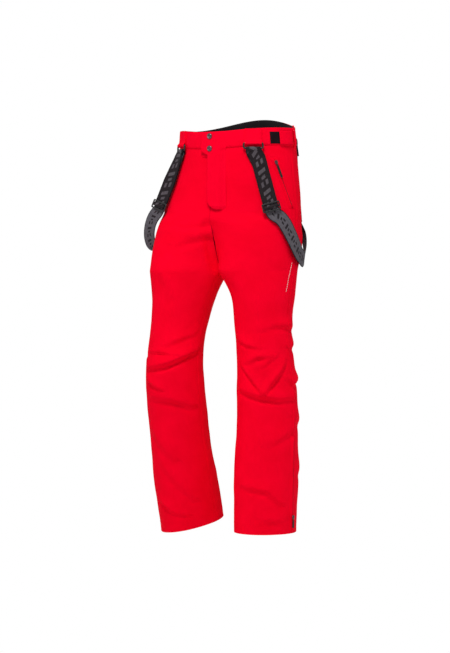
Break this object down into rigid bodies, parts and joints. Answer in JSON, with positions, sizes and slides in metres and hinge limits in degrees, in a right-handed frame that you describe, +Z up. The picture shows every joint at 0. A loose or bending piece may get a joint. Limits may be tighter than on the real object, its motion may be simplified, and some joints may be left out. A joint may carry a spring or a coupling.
{
  "type": "ski pants",
  "caption": "Insulated ski trousers with a snapped fly, waist adjuster tabs, zipped pockets and ankles, and suspenders that hang from rings at the waist.",
  "frame": {"origin": "middle of the waist opening, 16 mm above the front of the waistband's top edge and 25 mm below its back", "axes": "+Z up towards the wearer's head, -Y to the wearer's front, +X to the wearer's left"},
  "size_m": [0.4206, 0.3287, 1.0767],
  "materials": {
    "shell_red": "matte red woven shell fabric with a waterproof face, light wrinkles",
    "band_red": "same red fabric, doubled and stitched at the waistband, flap, tabs and belt loops",
    "facing_black": "black brushed waist facing and lining, matte",
    "webbing_black": "black elastic webbing, grey on its reverse side, with a woven pattern",
    "plastic_black": "black moulded acetal rings and sliders, low gloss",
    "hook_black": "black hook tape, very matte",
    "zip_tape_black": "black zip tape and coil",
    "zip_pull_black": "black rubbery zip pulls",
    "gunmetal": "dark gunmetal snaps and zip sliders"
  },
  "bodies": {
    "pants": {"back_panel_left": "shell_red", "back_panel_right": "shell_red", "back_ring_left": "plastic_black", "back_ring_right": "plastic_black", "back_tab_left": "band_red", "back_tab_right": "band_red", "belt_loop_back": "band_red", "belt_loop_left": "band_red", "belt_loop_right": "band_red", "fly_underlap": "band_red", "fly_zip_tape": "zip_tape_black", "front_panel_left": "shell_red", "front_panel_right": "shell_red", "front_ring_left": "plastic_black", "front_ring_right": "plastic_black", "front_tab_left": "band_red", "front_tab_right": "band_red", "hook_patch_left": "hook_black", "hook_patch_right": "hook_black", "knee_panel_left": "shell_red", "knee_panel_right": "shell_red", "pocket_zip_left_tape": "zip_tape_black", "pocket_zip_right_tape": "zip_tape_black", "snap_stud_lower": "gunmetal", "snap_stud_upper": "gunmetal", "strap_back_loop_left": "webbing_black", "strap_back_loop_right": "webbing_black", "strap_front_loop_left": "webbing_black", "strap_front_loop_right": "webbing_black", "waist_facing": "facing_black", "waistband_left": "band_red", "waistband_right": "band_red"},
    "fly_flap": {"fly_flap": "band_red", "snap_cap_upper": "gunmetal", "snap_cap_lower": "gunmetal"},
    "fly_zip_slider": {"fly_zip_slider": "gunmetal", "fly_zip_pull": "gunmetal"},
    "shin_left": {"shin_front_left": "shell_red", "shin_back_left": "shell_red", "ankle_zip_left_tape": "zip_tape_black"},
    "pocket_zip_slider_left": {"pocket_zip_left_slider": "gunmetal"},
    "pocket_zip_pull_left": {"pocket_zip_left_pull": "zip_pull_black"},
    "ankle_zip_slider_left": {"ankle_zip_left_slider": "gunmetal"},
    "ankle_zip_pull_left": {"ankle_zip_left_pull": "zip_pull_black"},
    "waist_tab_left": {"waist_tab_left": "band_red"},
    "suspender_left": {"strap_left": "webbing_black", "strap_doubled_left": "webbing_black"},
    "strap_slider_left": {"strap_slider_left": "plastic_black"},
    "shin_right": {"shin_front_right": "shell_red", "shin_back_right": "shell_red", "ankle_zip_right_tape": "zip_tape_black"},
    "pocket_zip_slider_right": {"pocket_zip_right_slider": "gunmetal"},
    "pocket_zip_pull_right": {"pocket_zip_right_pull": "zip_pull_black"},
    "ankle_zip_slider_right": {"ankle_zip_right_slider": "gunmetal"},
    "ankle_zip_pull_right": {"ankle_zip_right_pull": "zip_pull_black"},
    "waist_tab_right": {"waist_tab_right": "band_red"},
    "suspender_right": {"strap_right": "webbing_black", "strap_doubled_right": "webbing_black"},
    "strap_slider_right": {"strap_slider_right": "plastic_black"}
  },
  "joints": [
    {"name": "fly_flap_opens", "type": "hinge", "parent": "pants", "child": "fly_flap", "pos_m": [0.03633, -0.12168, -0.04321], "axis": [-0.0033, -0.0007, 1], "range_deg": [0, 110]},
    {"name": "fly_zip_opens", "type": "slide", "parent": "pants", "child": "fly_zip_slider", "axis": [0.0033, -0.031, -0.9995], "range_m": [0, 0.098]},
    {"name": "knee_left_bends", "type": "hinge", "parent": "pants", "child": "shin_left", "pos_m": [0.10432, -0.04631, -0.59], "axis": [1, 0, 0], "range_deg": [0, 60], "deforming": ["knee_panel_left"]},
    {"name": "pocket_zip_left_opens", "type": "slide", "parent": "pants", "child": "pocket_zip_slider_left", "axis": [0.2202, 0.2932, -0.9303], "range_m": [0, 0.105]},
    {"name": "pocket_pull_left_lifts", "type": "hinge", "parent": "pocket_zip_slider_left", "child": "pocket_zip_pull_left", "pos_m": [0.15961, -0.05397, -0.10052], "axis": [-0.4266, -0.8287, -0.3622], "range_deg": [0, 120]},
    {"name": "ankle_zip_left_opens", "type": "slide", "parent": "shin_left", "child": "ankle_zip_slider_left", "axis": [-0.0002, 0.0342, 0.9994], "range_m": [0, 0.175]},
    {"name": "ankle_pull_left_lifts", "type": "hinge", "parent": "ankle_zip_slider_left", "child": "ankle_zip_pull_left", "pos_m": [0.19597, -0.0334, -1.00186], "axis": [0.0001, -0.9994, 0.0342], "range_deg": [0, 120]},
    {"name": "waist_tab_left_peels", "type": "hinge", "parent": "pants", "child": "waist_tab_left", "pos_m": [0.16643, 0.0065, -0.03045], "axis": [-0.105, -0.0093, 0.9944], "range_deg": [0, 100]},
    {"name": "suspender_left_swings", "type": "hinge", "parent": "pants", "child": "suspender_left", "pos_m": [0.1109, 0.00173, -0.05147], "axis": [0.0203, -0.9963, -0.0834], "range_deg": [0, 160], "deforming": ["strap_front_loop_left", "strap_back_loop_left"]},
    {"name": "strap_slider_left_slides", "type": "slide", "parent": "suspender_left", "child": "strap_slider_left", "axis": [-0.2193, -0.1316, 0.9667], "range_m": [0, 0.05], "deforming": ["strap_doubled_left"]},
    {"name": "knee_right_bends", "type": "hinge", "parent": "pants", "child": "shin_right", "pos_m": [-0.10984, -0.14145, -0.59], "axis": [1, 0, 0], "range_deg": [0, 60], "deforming": ["knee_panel_right"]},
    {"name": "pocket_zip_right_opens", "type": "slide", "parent": "pants", "child": "pocket_zip_slider_right", "axis": [-0.2293, -0.0913, -0.9691], "range_m": [0, 0.105]},
    {"name": "pocket_pull_right_lifts", "type": "hinge", "parent": "pocket_zip_slider_right", "child": "pocket_zip_pull_right", "pos_m": [-0.15729, -0.06182, -0.10001], "axis": [-0.4967, 0.8672, 0.0358], "range_deg": [0, 120]},
    {"name": "ankle_zip_right_opens", "type": "slide", "parent": "shin_right", "child": "ankle_zip_slider_right", "axis": [0.0243, -0.2336, 0.972], "range_m": [0, 0.175]},
    {"name": "ankle_pull_right_lifts", "type": "hinge", "parent": "ankle_zip_slider_right", "child": "ankle_zip_pull_right", "pos_m": [-0.20404, -0.04508, -1.01151], "axis": [0.0027, 0.9723, 0.2336], "range_deg": [0, 120]},
    {"name": "waist_tab_right_peels", "type": "hinge", "parent": "pants", "child": "waist_tab_right", "pos_m": [-0.16643, 0.00682, -0.03046], "axis": [-0.105, 0.0199, -0.9943], "range_deg": [0, 100]},
    {"name": "suspender_right_swings", "type": "hinge", "parent": "pants", "child": "suspender_right", "pos_m": [-0.1109, 0.00206, -0.05146], "axis": [0.0217, 0.9964, 0.0822], "range_deg": [0, 160], "deforming": ["strap_front_loop_right", "strap_back_loop_right"]},
    {"name": "strap_slider_right_slides", "type": "slide", "parent": "suspender_right", "child": "strap_slider_right", "axis": [0.3333, 0.1563, 0.9298], "range_m": [0, 0.05], "deforming": ["strap_doubled_right"]}
  ]
}
